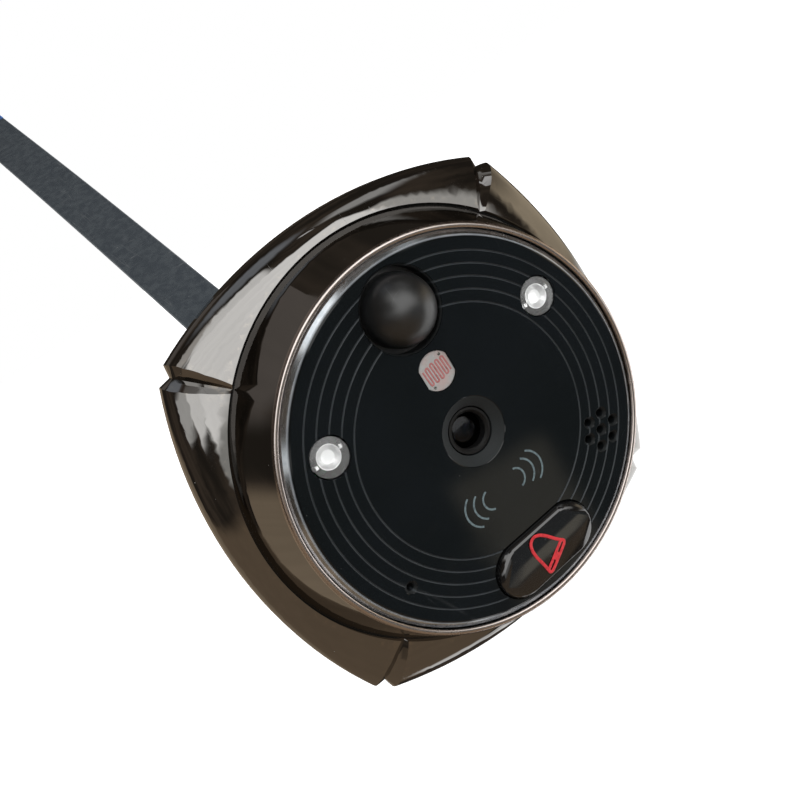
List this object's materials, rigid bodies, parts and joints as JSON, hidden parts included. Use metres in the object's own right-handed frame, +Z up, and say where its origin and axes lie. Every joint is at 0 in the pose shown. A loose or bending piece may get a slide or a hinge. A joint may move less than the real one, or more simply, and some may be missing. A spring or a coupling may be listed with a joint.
{
  "type": "door viewer camera outdoor unit",
  "caption": "Round face on a petal-sided flange: camera lens, doorbell button, motion dome and lamps in front; a hollow threaded barrel with a ribbon cable passes through the door.",
  "frame": {"origin": "on the barrel's axis, in the plane where the unit meets the outside of the door", "axes": "+Y into the door along the barrel, the face looks along -Y, +Z up, +X to the visitor's right"},
  "size_m": [0.0648, 0.2206, 0.1242],
  "materials": {
    "housing_plating": "polished dark nickel plating",
    "face_gloss": "gloss black",
    "adhesive": "double-sided tape",
    "dome_black": "gloss, dark infrared window",
    "holder_black": "moulded",
    "sensor_can": "tinned can",
    "led_clear": "clear epoxy",
    "lead_metal": "tinned",
    "photocell_face": "off-white with a red track",
    "lens_black": "black anodised look",
    "lens_glass": "coated glass",
    "filter_glass": "blue-green filter glass",
    "chip_black": "epoxy",
    "speaker_steel": "plated basket and pot",
    "diaphragm_film": "thin film",
    "boot_rubber": "moulded rubber",
    "microphone_can": "drawn can",
    "button_black": "gloss black with a red bell outline",
    "switch_black": "moulded with a metal cover",
    "plunger_brown": "moulded",
    "spring_steel": "spring steel",
    "board_green": "solder mask",
    "screw_zinc": "zinc plated",
    "connector_white": "moulded",
    "ribbon_slate": "matt jacket",
    "stiffener_blue": "stiffener with tinned contacts",
    "cover_black": "moulded",
    "barrel_brass": "machined and plated",
    "pad_foam": "closed-cell foam"
  },
  "bodies": {
    "unit": {"housing": "housing_plating", "face_plate": "face_gloss", "plate_adhesive": "adhesive", "pir_dome": "dome_black", "pir_holder": "holder_black", "pir_sensor": "sensor_can", "led_bodies": "led_clear", "led_lead_frames": "lead_metal", "photocell": "photocell_face", "photocell_spacer": "holder_black", "lens_barrel": "lens_black", "lens_front_element": "lens_glass", "lens_rear_element": "lens_glass", "lens_holder": "holder_black", "ir_filter": "filter_glass", "image_sensor": "chip_black", "speaker": "speaker_steel", "speaker_diaphragm": "diaphragm_film", "speaker_boot": "boot_rubber", "microphone": "microphone_can", "microphone_boot": "boot_rubber", "switch_body": "switch_black", "switch_dome": "spring_steel", "main_board": "board_green", "board_chips": "chip_black", "board_screws": "screw_zinc", "ribbon_connector": "connector_white", "ribbon_inner": "ribbon_slate", "ribbon_cable": "ribbon_slate", "ribbon_contact_end": "stiffener_blue", "rear_cover": "cover_black", "cover_seal": "boot_rubber", "cover_screws": "screw_zinc", "threaded_barrel": "barrel_brass", "barrel_screws": "screw_zinc", "door_pad": "pad_foam"},
    "button": {"bell_button": "button_black"},
    "plunger": {"switch_plunger": "plunger_brown"}
  },
  "joints": [
    {"name": "button_press", "type": "slide", "parent": "unit", "child": "button", "axis": [0, 1, 0], "range_m": [0, 0.0005], "stiffness_N_per_m": 3000},
    {"name": "plunger_press", "type": "slide", "parent": "unit", "child": "plunger", "axis": [0, 1, 0], "range_m": [0, 0.0005]}
  ],
  "couplings": [
    {"joint": "plunger_press", "follows": "button_press", "ratio": 1}
  ]
}
